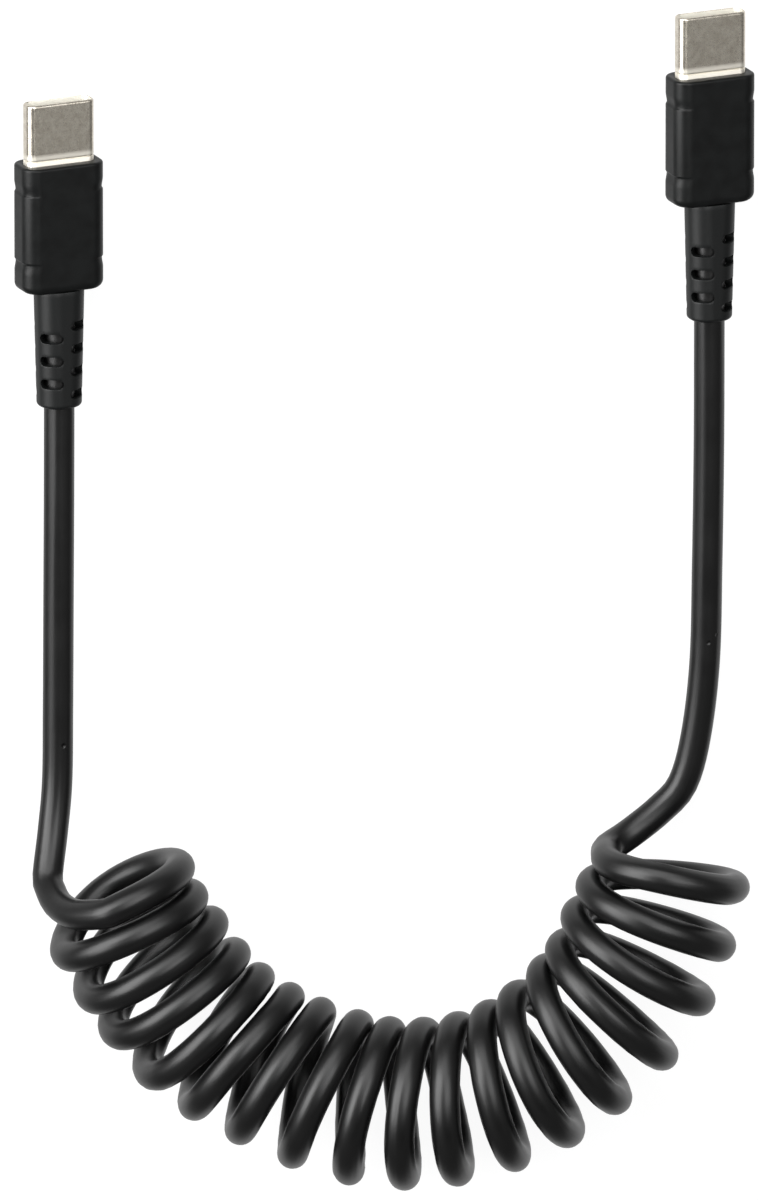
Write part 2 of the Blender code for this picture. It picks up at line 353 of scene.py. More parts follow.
# A tube along the curve. Two attributes stay on it: the length along the cord, and the place
# around it as a point on a circle.
def cordTree(jacket):
    tree = bpy.data.node_groups.new("cordTube", "GeometryNodeTree")
    tree.interface.new_socket("Geometry", in_out="INPUT", socket_type="NodeSocketGeometry")
    tree.interface.new_socket("Cord Radius", in_out="INPUT", socket_type="NodeSocketFloat")
    tree.interface.new_socket("Sides", in_out="INPUT", socket_type="NodeSocketInt")
    tree.interface.new_socket("Geometry", in_out="OUTPUT", socket_type="NodeSocketGeometry")
    given = addNode(tree, "NodeGroupInput")
    ring = addNode(
        tree, "GeometryNodeCurvePrimitiveCircle",
        links={"Resolution": given.outputs["Sides"], "Radius": given.outputs["Cord Radius"]},
    )
    spline = addNode(tree, "GeometryNodeSplineParameter")
    measured = addNode(
        tree, "GeometryNodeStoreNamedAttribute", {"Name": "cordRun"},
        {"Geometry": given.outputs["Geometry"], "Value": spline.outputs["Length"]},
        data_type="FLOAT", domain="POINT",
    )
    around = addNode(tree, "GeometryNodeInputPosition")
    marked = addNode(
        tree, "GeometryNodeStoreNamedAttribute", {"Name": "cordAround"},
        {"Geometry": ring.outputs["Curve"], "Value": around.outputs["Position"]},
        data_type="FLOAT_VECTOR", domain="POINT",
    )
    tube = addNode(
        tree, "GeometryNodeCurveToMesh", {"Fill Caps": True},
        {"Curve": measured.outputs["Geometry"], "Profile Curve": marked.outputs["Geometry"]},
    )
    joined = addNode(
        tree, "GeometryNodeMergeByDistance", {"Distance": 1e-7}, {"Geometry": tube.outputs["Mesh"]}
    )
    real = addNode(tree, "GeometryNodeRealizeInstances", links={"Geometry": joined.outputs["Geometry"]})
    smooth = addNode(tree, "GeometryNodeSetShadeSmooth", links={"Geometry": real.outputs["Geometry"]})
    finished = addNode(
        tree, "GeometryNodeSetMaterial", {"Material": jacket}, {"Geometry": smooth.outputs["Geometry"]}
    )
    addNode(tree, "NodeGroupOutput", links={"Geometry": finished.outputs["Geometry"]})
    return tree


# Evaluates a tree on an object and keeps the result as a plain mesh object.
def meshFromTree(name, source, tree, inputs):
    modifier = source.modifiers.new(tree.name, "NODES")
    modifier.node_group = tree
    for item in tree.interface.items_tree:
        if item.in_out == "INPUT" and item.name in inputs:
            modifier[item.identifier] = inputs[item.name]
    bpy.context.view_layer.update()
    graph = bpy.context.evaluated_depsgraph_get()
    mesh = bpy.data.meshes.new_from_object(source.evaluated_get(graph))
    mesh.name = name
    bpy.data.objects.remove(source, do_unlink=True)
    made = bpy.data.objects.new(name, mesh)
    bpy.context.scene.collection.objects.link(made)
    return made


def makeCord(settings, jacket):
    route, ends = cordRoute(settings)
    curve = bpy.data.curves.new("cordLine", "CURVE")
    curve.dimensions = "3D"
    spline = curve.splines.new("POLY")
    spline.points.add(len(route) - 1)
    for point, place in zip(spline.points, route):
        point.co = (*place, 1.0)
    line = bpy.data.objects.new("cordLine", curve)
    bpy.context.scene.collection.objects.link(line)
    cord = meshFromTree(
        "cord", line, cordTree(jacket),
        {"Cord Radius": settings["diameter"] / 2, "Sides": settings["sides"]},
    )
    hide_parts("tail_left", "coil", "tail_right")
    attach(cord, body)


# TPE, extruded over stranded wires and set on a mandrel: satin black, with faint streaks along it
# where the wires press through, and three small nicks in its tails
def jacketMaterial(finish):
    material, tree, shader = newMaterial("blackTpeJacket")
    shader.inputs["Base Color"].default_value = hexColour(finish["colour"])
    shader.inputs["Specular IOR Level"].default_value = finish["specular"]
    place = addNode(tree, "ShaderNodeTexCoord")
    around = addNode(tree, "ShaderNodeAttribute", attribute_name="cordAround")
    run = addNode(tree, "ShaderNodeAttribute", attribute_name="cordRun")
    turned = addNode(
        tree, "ShaderNodeVectorMath", {"Scale": 1 / finish["streakWidth"]},
        {"Vector": around.outputs["Vector"]}, operation="SCALE",
    )
    along = addNode(
        tree, "ShaderNodeMath", {1: 1 / finish["streakLength"]}, {0: run.outputs["Fac"]},
        operation="MULTIPLY",
    )
    streaks = addNode(
        tree, "ShaderNodeTexNoise", {"Scale": 1.0, "Detail": 1.0},
        {"Vector": turned.outputs["Vector"], "W": along.outputs["Value"]}, noise_dimensions="4D",
    )
    grain = addNode(
        tree, "ShaderNodeTexNoise", {"Scale": 1 / finish["grain"], "Detail": 3.0},
        {"Vector": place.outputs["Object"]},
    )
    cloud = addNode(
        tree, "ShaderNodeTexNoise", {"Scale": 1 / finish["cloud"], "Detail": 3.0},
        {"Vector": place.outputs["Object"]},
    )
    glossiest, dullest = finish["roughness"]
    haze = addNode(
        tree, "ShaderNodeMapRange",
        {"From Min": 0.3, "From Max": 0.7, "To Min": glossiest, "To Max": dullest},
        {"Value": cloud.outputs["Fac"]},
    )
    wavy = addNode(
        tree, "ShaderNodeBump", {"Strength": 1.0, "Distance": finish["streakDepth"]},
        {"Height": streaks.outputs["Fac"]},
    )
    relief = addNode(
        tree, "ShaderNodeBump", {"Strength": 0.5, "Distance": finish["grainDepth"]},
        {"Height": grain.outputs["Fac"], "Normal": wavy.outputs["Normal"]},
    )
    dent = None
    for middle, size in finish["nicks"]:
        away = addNode(
            tree, "ShaderNodeVectorMath", {1: middle}, {0: place.outputs["Object"]}, operation="DISTANCE"
        )
        hollow = addNode(
            tree, "ShaderNodeMapRange", {"From Max": size, "To Min": 1.0, "To Max": 0.0},
            {"Value": away.outputs["Value"]}, interpolation_type="SMOOTHSTEP",
        )
        if dent:
            both = addNode(
                tree, "ShaderNodeMath", links={0: dent, 1: hollow.outputs["Result"]}, operation="ADD"
            )
        dent = both.outputs["Value"] if dent else hollow.outputs["Result"]
    nicked = addNode(
        tree, "ShaderNodeBump", {"Strength": 1.0, "Distance": finish["nickDepth"]},
        {"Height": dent, "Normal": relief.outputs["Normal"]}, invert=True,
    )
    tree.links.new(haze.outputs["Result"], shader.inputs["Roughness"])
    tree.links.new(nicked.outputs["Normal"], shader.inputs["Normal"])
    return material


jacketFinish = {
    "colour": "#050505",
    "specular": 0.5,
    "roughness": (0.36, 0.42),
    "streakWidth": 1.1 * mm,  # between two wires, as felt through the jacket
    "streakLength": 30 * mm,
    "streakDepth": 0.1 * mm,
    "grain": 0.12 * mm,
    "grainDepth": 0.004 * mm,
    "cloud": 4 * mm,
    # where each nick is and how far its edge lies from its middle
    "nicks": (
        ((-0.0365, -0.0642, 0.0054), 0.35 * mm),
        ((0.0371, -0.0505, 0.0040), 0.3 * mm),
        ((0.0380, -0.0497, 0.0036), 0.3 * mm),
    ),
    "nickDepth": 0.12 * mm,
}
makeCord(cordSettings, jacketMaterial(jacketFinish))


# Plug shell: deep-drawn metal tube with a rolled nose, and a seam above its collar

plugPose = {"roll": radians(28.7), "cornerSteps": 12, "support": 0.06 * mm}

shellSettings = {
    "width": 8.25 * mm,
    "thickness": 2.4 * mm,
    "corner": 0.85 * mm,
    "wall": 0.3 * mm,
    "nose": 0.24 * mm,
    "seat": 3.0 * mm,
    "collar": 0.45 * mm,
    "seam": 0.1 * mm,
    "seamDepth": 0.1 * mm,
    "lip": 0.2 * mm,
    "lipSteps": 6,
    "collarEdge": 0.03 * mm,
    "mouthEdge": 0.08 * mm,
}


def plugMatrix(side):
    return Matrix.Translation(plugAxis(side)) @ Matrix.Rotation(plugPose["roll"], 4, "Y")


def plugTip(side):
    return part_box("plug_shell_" + side)[1].y - plugAxis(side).y


# Points around a rectangle with round corners, with one more beside each end of an arc
def roundedSection(y, width, thickness, corner):
    support = plugPose["support"]
    steps = plugPose["cornerSteps"]
    points = []
    for quarter, (sideX, sideZ) in enumerate(((1, 1), (-1, 1), (-1, -1), (1, -1))):
        centre = Vector((sideX * (width / 2 - corner), y, sideZ * (thickness / 2 - corner)))
        for step in range(-1, steps + 2):
            inArc = min(max(step, 0), steps)
            angle = (quarter + inArc / steps) * pi / 2
            out = Vector((cos(angle), 0, sin(angle)))
            along = Vector((-sin(angle), 0, cos(angle)))
            points.append(centre + out * corner + along * support * (step - inArc))
    return points


def insetSection(y, width, thickness, corner, inset):
    return roundedSection(y, width - 2 * inset, thickness - 2 * inset, corner - inset)


# Pairs (distance back, inset) round an edge, from the end face to the side, with one more on each
def roundedEdge(radius, steps=6):
    support = plugPose["support"]
    angles = [step / steps * pi / 2 for step in range(steps + 1)]
    arc = [(radius * (1 - cos(angle)), radius * (1 - sin(angle))) for angle in angles]
    return [(0.0, radius + support / 2), *arc, (radius + support, 0.0)]


# Skins rings of equal length, with a cap on each end or joined last to first
def loftRings(name, rings, material, side, closed=False):
    shape = bmesh.new()
    turn = plugMatrix(side)
    loops = [[shape.verts.new(turn @ point) for point in points] for points in rings]
    pairs = list(zip(loops, loops[1:]))
    if closed:
        pairs.append((loops[-1], loops[0]))
    else:
        shape.faces.new(loops[0])
        shape.faces.new(loops[-1])
    for first, second in pairs:
        for here in range(len(first)):
            after = (here + 1) % len(first)
            shape.faces.new((first[here], first[after], second[after], second[here]))
    return objectFromBmesh(name, shape, material)


def takePlace(piece, slot, *nodes):
    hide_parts(*nodes)
    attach(piece, body)


def makeShell(side, settings, material, inside):
    tip = plugTip(side)
    outer = (settings["width"], settings["thickness"], settings["corner"])
    seamTop = settings["collar"] + settings["seam"]
    profile = [(tip - back, inset) for back, inset in roundedEdge(settings["nose"])]
    profile.append((seamTop + settings["lip"] + plugPose["support"], 0.0))
    for step in range(settings["lipSteps"] + 1):
        angle = step / settings["lipSteps"] * pi / 2
        profile.append((
            seamTop + settings["lip"] * (1 - sin(angle)),
            settings["seamDepth"] * (1 - cos(angle)),
        ))
    edge, mouthEdge = settings["collarEdge"], settings["mouthEdge"]
    profile += [
        (settings["collar"], settings["seamDepth"]),
        (settings["collar"], edge),
        (settings["collar"] - edge * arcShare, edge * arcShare),
        (settings["collar"] - edge, 0.0),
        (-settings["seat"], 0.0),
        (-settings["seat"], settings["wall"]),
        (tip - mouthEdge, settings["wall"]),
        (tip - mouthEdge * arcShare, settings["wall"] - mouthEdge * arcShare),
    ]
    rings = [insetSection(y, *outer, inset) for y, inset in profile]
    shell = loftRings("shell" + side.title(), rings, material, side, closed=True)
    shell.data.materials.append(inside)
    around = len(rings[0])
    innerBand = len(rings) - 3  # between the seat's ring and the mouth's
    for face in list(shell.data.polygons)[innerBand * around:(innerBand + 1) * around]:
        face.material_index = 1
    ahead = shell.data.attributes.new("aheadOfShoulder", "FLOAT", "POINT")
    shoulder = plugAxis(side).y
    for vertex, value in zip(shell.data.vertices, ahead.data):
        value.value = vertex.co.y - shoulder
    takePlace(shell, "plug_metal", "plug_shell_" + side)


# Nickel plate on drawn steel: satin and slightly mottled on the flats, bright where it is rolled,
# and duller in the narrow band above its collar, where its colour is also lightened as a painted highlight
def nickelMaterial(finish):
    material, tree, shader = newMaterial("satinNickelPlate")
    shader.inputs["Metallic"].default_value = 1.0
    place = addNode(tree, "ShaderNodeTexCoord")
    ahead = addNode(tree, "ShaderNodeAttribute", attribute_name="aheadOfShoulder")
    blotch = addNode(
        tree, "ShaderNodeTexNoise", {"Scale": 1 / finish["blotch"], "Detail": 6.0, "Roughness": 0.7},
        {"Vector": place.outputs["Object"]},
    )
    grain = addNode(
        tree, "ShaderNodeTexNoise", {"Scale": 1 / finish["grain"], "Detail": 3.0, "Roughness": 0.7},
        {"Vector": place.outputs["Object"]},
    )
    tone = addNode(tree, "ShaderNodeValToRGB", links={"Fac": blotch.outputs["Fac"]})
    darkest, palest = finish["colours"]
    tone.color_ramp.elements[0].position = 0.34
    tone.color_ramp.elements[0].color = hexColour(darkest)
    tone.color_ramp.elements[1].position = 0.66
    tone.color_ramp.elements[1].color = hexColour(palest)
    # The band above the shoulder is made rougher, and its colour is mixed towards a lighter one as a
    # painted highlight
    bandEnd, bandFade = finish["band"]
    dullAndPaintedHighlightBand = addNode(
        tree, "ShaderNodeMapRange",
        {"From Min": bandEnd, "From Max": bandEnd + bandFade, "To Min": 1.0, "To Max": 0.0},
        {"Value": ahead.outputs["Fac"]},
    )
    toneWithPaintedHighlight = addNode(
        tree, "ShaderNodeMix", {"B": hexColour(finish["paintedHighlightColour"])},
        {"Factor": dullAndPaintedHighlightBand.outputs["Result"], "A": tone.outputs["Color"]}, data_type="RGBA",
    )
    glossiest, dullest = finish["roughness"]
    haze = addNode(
        tree, "ShaderNodeMapRange",
        {"From Min": 0.3, "From Max": 0.7, "To Min": glossiest, "To Max": dullest},
        {"Value": grain.outputs["Fac"]},
    )
    rougher = addNode(
        tree, "ShaderNodeMath", {1: finish["bandRoughness"]},
        {0: dullAndPaintedHighlightBand.outputs["Result"], 2: haze.outputs["Result"]}, operation="MULTIPLY_ADD",
    )
    relief = addNode(
        tree, "ShaderNodeBump", {"Strength": 0.3, "Distance": finish["grainDepth"]},
        {"Height": grain.outputs["Fac"]},
    )
    tree.links.new(toneWithPaintedHighlight.outputs["Result"], shader.inputs["Base Color"])
    tree.links.new(rougher.outputs["Value"], shader.inputs["Roughness"])
    tree.links.new(relief.outputs["Normal"], shader.inputs["Normal"])
    return material


nickelFinish = {
    "colours": ("#d2c9ba", "#f2ebdc"),
    "roughness": (0.24, 0.36),
    "blotch": 0.8 * mm,
    "grain": 0.12 * mm,
    "grainDepth": 0.0015 * mm,
    # The band's lighter colour is a painted highlight, standing in for the light that the lip and seam
    # catch
    "band": (1.0 * mm, 0.4 * mm),  # how far the band reaches from the shoulder, and how slowly it ends
    "paintedHighlightColour": "#fbf6ea",
    "bandRoughness": 0.22,
}


# The same plate inside the tube, where nothing wipes it: pale and matt
def innerNickelMaterial(finish):
    material, tree, shader = newMaterial("mattNickelInside")
    shader.inputs["Metallic"].default_value = finish["metallic"]
    place = addNode(tree, "ShaderNodeTexCoord")
    cloud = addNode(
        tree, "ShaderNodeTexNoise", {"Scale": 1 / finish["cloud"], "Detail": 3.0},
        {"Vector": place.outputs["Object"]},
    )
    darkest, palest = finish["colours"]
    tone = addNode(tree, "ShaderNodeValToRGB", links={"Fac": cloud.outputs["Fac"]})
    tone.color_ramp.elements[0].color = hexColour(darkest)
    tone.color_ramp.elements[1].color = hexColour(palest)
    glossiest, dullest = finish["roughness"]
    haze = addNode(
        tree, "ShaderNodeMapRange", {"To Min": glossiest, "To Max": dullest},
        {"Value": cloud.outputs["Fac"]},
    )
    tree.links.new(tone.outputs["Color"], shader.inputs["Base Color"])
    tree.links.new(haze.outputs["Result"], shader.inputs["Roughness"])
    return material


innerNickelFinish = {
    "colours": ("#dedacc", "#efece2"),
    "metallic": 0.35,
    "roughness": (0.5, 0.62),
    "cloud": 0.7 * mm,
}


# Contact block: a moulded block in the shell, its slot lined with two rows of spring contacts

blockSettings = {
    "setback": 0.8 * mm,
    "gap": 0.1 * mm,
    "corner": 0.5 * mm,
    "sideWall": 0.37 * mm,
    "faceWall": 0.37 * mm,
    "slotDepth": 5.0 * mm,
    "slotCorner": 0.1 * mm,
    "contacts": 12,
    "contactPitch": 0.5 * mm,
    "contactWidth": 0.25 * mm,
    "contactSheet": 0.06 * mm,
    "contactRise": 0.13 * mm,
    "contactFront": 0.3 * mm,
    "contactBack": 0.4 * mm,
}


# One row of bent springs in the slot's upper face, and the same turned over in its lower face
def contactTree(gold):
    tree = bpy.data.node_groups.new("contactRows", "GeometryNodeTree")
    tree.interface.new_socket("Geometry", in_out="INPUT", socket_type="NodeSocketGeometry")
    for name in ("Pitch", "Blade Width", "Sheet", "Rise", "Slot Height", "Front", "Back"):
        tree.interface.new_socket(name, in_out="INPUT", socket_type="NodeSocketFloat")
    tree.interface.new_socket("Contacts", in_out="INPUT", socket_type="NodeSocketInt")
    tree.interface.new_socket("Geometry", in_out="OUTPUT", socket_type="NodeSocketGeometry")
    given = addNode(tree, "NodeGroupInput")

    def math(operation, first, second):
        node = addNode(tree, "ShaderNodeMath", operation=operation)
        for socket, source in zip(node.inputs, (first, second)):
            if isinstance(source, (int, float)):
                socket.default_value = source
            else:
                tree.links.new(source, socket)
        return node.outputs["Value"]

    def vector(x, y, z):
        node = addNode(tree, "ShaderNodeCombineXYZ")
        for socket, source in zip(node.inputs, (x, y, z)):
            if isinstance(source, (int, float)):
                socket.default_value = source
            else:
                tree.links.new(source, socket)
        return node.outputs["Vector"]

    ceiling = math("SUBTRACT", math("MULTIPLY", given.outputs["Slot Height"], 0.5), given.outputs["Sheet"])
    middle = math("MULTIPLY", math("ADD", given.outputs["Front"], given.outputs["Back"]), 0.5)
    dip = math("SUBTRACT", ceiling, math("MULTIPLY", given.outputs["Rise"], 2.0))
    spring = addNode(
        tree, "GeometryNodeCurveQuadraticBezier", {"Resolution": 12},
        {
            "Start": vector(0.0, given.outputs["Front"], ceiling),
            "Middle": vector(0.0, middle, dip),
            "End": vector(0.0, given.outputs["Back"], ceiling),
        },
    )
    blade = addNode(
        tree, "GeometryNodeCurvePrimitiveQuadrilateral",
        links={"Width": given.outputs["Blade Width"], "Height": given.outputs["Sheet"]},
    )
    strip = addNode(
        tree, "GeometryNodeCurveToMesh", {"Fill Caps": True},
        {"Curve": spring.outputs["Curve"], "Profile Curve": blade.outputs["Curve"]},
    )
    span = math("MULTIPLY", given.outputs["Pitch"], math("SUBTRACT", given.outputs["Contacts"], 1.0))
    row = addNode(
        tree, "GeometryNodeMeshLine",
        links={
            "Count": given.outputs["Contacts"],
            "Start Location": vector(math("MULTIPLY", span, -0.5), 0.0, 0.0),
            "Offset": vector(given.outputs["Pitch"], 0.0, 0.0),
        },
    )
    upper = addNode(
        tree, "GeometryNodeInstanceOnPoints",
        links={"Points": row.outputs["Mesh"], "Instance": strip.outputs["Mesh"]},
    )
    lower = addNode(
        tree, "GeometryNodeTransform", {"Rotation": (0.0, pi, 0.0)},
        {"Geometry": upper.outputs["Instances"]},
    )
    both = addNode(tree, "GeometryNodeJoinGeometry")
    tree.links.new(upper.outputs["Instances"], both.inputs["Geometry"])
    tree.links.new(lower.outputs["Geometry"], both.inputs["Geometry"])
    real = addNode(tree, "GeometryNodeRealizeInstances", links={"Geometry": both.outputs["Geometry"]})
    finished = addNode(
        tree, "GeometryNodeSetMaterial", {"Material": gold}, {"Geometry": real.outputs["Geometry"]}
    )
    addNode(tree, "NodeGroupOutput", links={"Geometry": finished.outputs["Geometry"]})
    return tree


def makeContactBlock(side, settings, material, gold):
    front = plugTip(side) - settings["setback"]
    clear = 2 * (shellSettings["wall"] + settings["gap"])
    width = shellSettings["width"] - clear
    thickness = shellSettings["thickness"] - clear
    slotWidth = width - 2 * settings["sideWall"]
    slotHeight = thickness - 2 * settings["faceWall"]
    back = front - settings["slotDepth"]
    rings = [
        roundedSection(back, slotWidth, slotHeight, settings["slotCorner"]),
        roundedSection(front, slotWidth, slotHeight, settings["slotCorner"]),
        roundedSection(front, width, thickness, settings["corner"]),
        roundedSection(-shellSettings["seat"], width, thickness, settings["corner"]),
    ]
    block = loftRings("contactBlock" + side.title(), rings, material, side)
    source = bpy.data.objects.new("contactRows", bpy.data.meshes.new("contactRows"))
    bpy.context.scene.collection.objects.link(source)
    contacts = meshFromTree(
        "springContacts" + side.title(), source, contactTree(gold),
        {
            "Pitch": settings["contactPitch"],
            "Blade Width": settings["contactWidth"],
            "Sheet": settings["contactSheet"],
            "Rise": settings["contactRise"],
            "Slot Height": slotHeight,
            "Front": front - settings["contactFront"],
            "Back": back + settings["contactBack"],
            "Contacts": settings["contacts"],
        },
    )
    contacts.data.transform(plugMatrix(side))
    takePlace(block, "contact_block", "contact_block_" + side)
    takePlace(contacts, "contact_block", "contact_block_" + side)


# Glass-filled liquid crystal polymer, moulded: dull black with a faint grain
def blockMaterial(finish):
    material, tree, shader = newMaterial("blackMouldedPolymer")
    shader.inputs["Base Color"].default_value = hexColour(finish["colour"])
    place = addNode(tree, "ShaderNodeTexCoord")
    grain = addNode(
        tree, "ShaderNodeTexNoise", {"Scale": 1 / finish["grain"], "Detail": 2.0},
        {"Vector": place.outputs["Object"]},
    )
    glossiest, dullest = finish["roughness"]
    haze = addNode(
        tree, "ShaderNodeMapRange", {"To Min": glossiest, "To Max": dullest},
        {"Value": grain.outputs["Fac"]},
    )
    tree.links.new(haze.outputs["Result"], shader.inputs["Roughness"])
    return material


# Hard gold plate on a copper alloy, stamped: warm and bright, duller where it has been wiped
def goldMaterial(finish):
    material, tree, shader = newMaterial("hardGoldPlate")
    shader.inputs["Base Color"].default_value = hexColour(finish["colour"])
    shader.inputs["Metallic"].default_value = 1.0
    place = addNode(tree, "ShaderNodeTexCoord")
    wiped = addNode(
        tree, "ShaderNodeTexNoise", {"Scale": 1 / finish["wipe"], "Detail": 2.0},
        {"Vector": place.outputs["Object"]},
    )
    glossiest, dullest = finish["roughness"]
    haze = addNode(
        tree, "ShaderNodeMapRange", {"To Min": glossiest, "To Max": dullest},
        {"Value": wiped.outputs["Fac"]},
    )
    tree.links.new(haze.outputs["Result"], shader.inputs["Roughness"])
    return material


blockFinish = {"colour": "#262626", "roughness": (0.45, 0.65), "grain": 0.08 * mm}
goldFinish = {"colour": "#e8c069", "roughness": (0.16, 0.34), "wipe": 0.3 * mm}


# Plug housing: a moulded body with a shallow grip on each narrow side

housingSettings = {
    "length": 14.9 * mm,
    "width": 9.95 * mm,
    "thickness": 5.1 * mm,
    "corner": 1.7 * mm,
    "frontEdge": 0.3 * mm,
    "rearSideEdge": 0.9 * mm,
    "rearFaceEdge": 0.4 * mm,
    "rearEdgeSteps": 8,
    "gripStart": 3.1 * mm,
    "gripLength": 8.3 * mm,
    "gripDepth": 0.15 * mm,
    "gripSlope": 1.2 * mm,
    "gripStep": 0.3 * mm,
    "gripSteps": 10,
    "gap": 0.05 * mm,
    "pocketEdge": 0.08 * mm,
    "cordSeat": 1.5 * mm,
}


# How deep the narrow side dips this far behind the shoulder: a long slope outside the grip, then a
# short step up to it
def gripDip(settings, back):
    deepest = 0.0
    front = settings["gripStart"]
    for edge, outward in ((front, -1), (front + settings["gripLength"], 1)):
        past = (back - edge) * outward
        share = 1 - (past / settings["gripSlope"] if past > 0 else -past / settings["gripStep"])
        deepest = max(deepest, (1 - cos(pi * min(max(share, 0.0), 1.0))) / 2)
    return settings["gripDepth"] * deepest


def gripBacks(settings):
    slope, step, steps = settings["gripSlope"], settings["gripStep"], settings["gripSteps"]
    front = settings["gripStart"]
    rear = front + settings["gripLength"]
    backs = [front - slope + slope * count / steps for count in range(steps + 1)]
    backs += [front + step * count / steps for count in range(1, steps + 1)]
    backs += [rear - step + step * count / steps for count in range(steps + 1)]
    backs += [rear + slope * count / steps for count in range(1, steps + 1)]
    return backs


def makeHousing(side, settings, material):
    width, thickness, corner = settings["width"], settings["thickness"], settings["corner"]
    shell = (shellSettings["width"], shellSettings["thickness"], shellSettings["corner"])
    bore = cordSettings["diameter"] / 2
    hole = (2 * bore, 2 * bore, bore)
    gap, edge, length = settings["gap"], settings["pocketEdge"], settings["length"]
    seat = shellSettings["seat"] + gap
    rings = [
        insetSection(-seat, *shell, -gap),
        insetSection(-edge, *shell, -gap),
        insetSection(-edge * arcShare, *shell, -gap - edge * arcShare),
        insetSection(0, *shell, -gap - edge),
    ]
    for back, inset in roundedEdge(settings["frontEdge"]):
        rings.append(insetSection(-back, width, thickness, corner, inset))
    for back in gripBacks(settings):
        rings.append(roundedSection(-back, width - 2 * gripDip(settings, back), thickness, corner))
    for back, inset in reversed(roundedEdge(settings["rearSideEdge"], settings["rearEdgeSteps"])):
        faceInset = inset * settings["rearFaceEdge"] / settings["rearSideEdge"]
        rings.append(
            roundedSection(back - length, width - 2 * inset, thickness - 2 * faceInset, corner - faceInset)
        )
    rings += [
        insetSection(-length, *hole, -gap - edge),
        insetSection(edge * arcShare - length, *hole, -gap - edge * arcShare),
        insetSection(edge - length, *hole, -gap),
        insetSection(settings["cordSeat"] + gap - length, *hole, -gap),
    ]
    housing = loftRings("housing" + side.title(), rings, material, side)
    takePlace(housing, "housing", "plug_housing_" + side)


# ABS, moulded in a spark-eroded tool: satin black with a fine even grain
def housingMaterial(finish):
    material, tree, shader = newMaterial("blackGrainedAbs")
    shader.inputs["Specular IOR Level"].default_value = finish["specular"]
    place = addNode(tree, "ShaderNodeTexCoord")
    cloud = addNode(
        tree, "ShaderNodeTexNoise", {"Scale": 1 / finish["cloud"], "Detail": 4.0},
        {"Vector": place.outputs["Object"]},
    )
    darkest, palest = finish["colours"]
    tone = addNode(tree, "ShaderNodeValToRGB", links={"Fac": cloud.outputs["Fac"]})
    tone.color_ramp.elements[0].position = 0.35
    tone.color_ramp.elements[0].color = hexColour(darkest)
    tone.color_ramp.elements[1].position = 0.65
    tone.color_ramp.elements[1].color = hexColour(palest)
    grain = addNode(
        tree, "ShaderNodeTexNoise", {"Scale": 1 / finish["grain"], "Detail": 2.0, "Roughness": 0.5},
        {"Vector": place.outputs["Object"]},
    )
    relief = addNode(
        tree, "ShaderNodeBump", {"Strength": 0.4, "Distance": finish["grainDepth"]},
        {"Height": grain.outputs["Fac"]},
    )
    glossiest, dullest = finish["roughness"]
    haze = addNode(
        tree, "ShaderNodeMapRange",
        {"From Min": 0.3, "From Max": 0.7, "To Min": glossiest, "To Max": dullest},
        {"Value": cloud.outputs["Fac"]},
    )
    tree.links.new(tone.outputs["Color"], shader.inputs["Base Color"])
    tree.links.new(haze.outputs["Result"], shader.inputs["Roughness"])
    tree.links.new(relief.outputs["Normal"], shader.inputs["Normal"])
    return material


housingFinish = {
    "colours": ("#030404", "#060808"),
    "specular": 0.3,
    "roughness": (0.40, 0.48),
    "cloud": 1.6 * mm,
    "grain": 0.16 * mm,  # the tool's own is about 0.05 mm, drawn coarser so that it shows
    "grainDepth": 0.02 * mm,
}


# Strain relief: a tapered sleeve with four columns of slots around the cord

reliefSettings = {
    "length": 13.9 * mm,
    "seatGap": 0.03 * mm,
    "rootWidth": 5.75 * mm,
    "rootThickness": 4.8 * mm,
    "endWidth": 5.1 * mm,
    "endThickness": 4.7 * mm,
    "corner": 2.2 * mm,
    "endEdge": 0.45 * mm,
    "endSteps": 7,
    "rings": 24,
    "boreGap": 0.1 * mm,
    "boreEdge": 0.15 * mm,
    "around": 96,
    "slotStart": 1.65 * mm,
    "slotHeight": 1.15 * mm,
    "slotWidth": 2.75 * mm,
    "slotPitch": 2.7 * mm,
    "slotEdge": 0.09 * mm,
    "slotAngle": radians(50),  # only edges past this are bevelled, so the sleeve's own curve is not
    "slotSteps": 8,
}


# How far the edge of a rectangle with round corners lies from its centre, at this angle
def sectionRadius(angle, width, thickness, corner):
    along, across = abs(cos(angle)), abs(sin(angle))
    centreX, centreZ = width / 2 - corner, thickness / 2 - corner
    if centreZ * along >= width / 2 * across:
        return width / 2 / along
    if centreX * across >= thickness / 2 * along:
        return thickness / 2 / across
    reach = centreX * along + centreZ * across
    return reach + sqrt(reach ** 2 - centreX ** 2 - centreZ ** 2 + corner ** 2)


# Outline of a slot with half-round ends, pushed out through the sleeve's wall
def slotCutter(settings, angle, y, matrix):
    half = settings["slotHeight"] / 2
    reach = settings["slotWidth"] / 2 - half
    steps = settings["slotSteps"]
    outline = []
    for end in (1, -1):
        for step in range(steps + 1):
            turn = (step / steps - end / 2) * pi
            outline.append((end * reach + half * cos(turn), half * sin(turn)))
    out = Vector((cos(angle), 0, sin(angle)))
    around = Vector((-sin(angle), 0, cos(angle)))
    shape = bmesh.new()
    loops = []
    for radius in (settings["endWidth"] * 0.25, settings["rootWidth"]):
        loops.append([
            shape.verts.new(matrix @ (out * radius + around * across + Vector((0, y + up, 0))))
            for across, up in outline
        ])
    shape.faces.new(loops[0])
    shape.faces.new(loops[1])
    for here in range(len(outline)):
        after = (here + 1) % len(outline)
        shape.faces.new((loops[0][here], loops[0][after], loops[1][after], loops[1][here]))
    bmesh.ops.recalc_face_normals(shape, faces=shape.faces)
    return shape


# Where the slots are: a column of four on two opposite corners, and one of three on the others
def slotPlaces(settings):
    for quarter in range(4):
        first, count = (0.0, 4) if quarter % 2 == 0 else (0.5, 3)
        for step in range(count):
            height = settings["slotStart"] + (first + step) * settings["slotPitch"]
            yield radians(45 + 90 * quarter), height


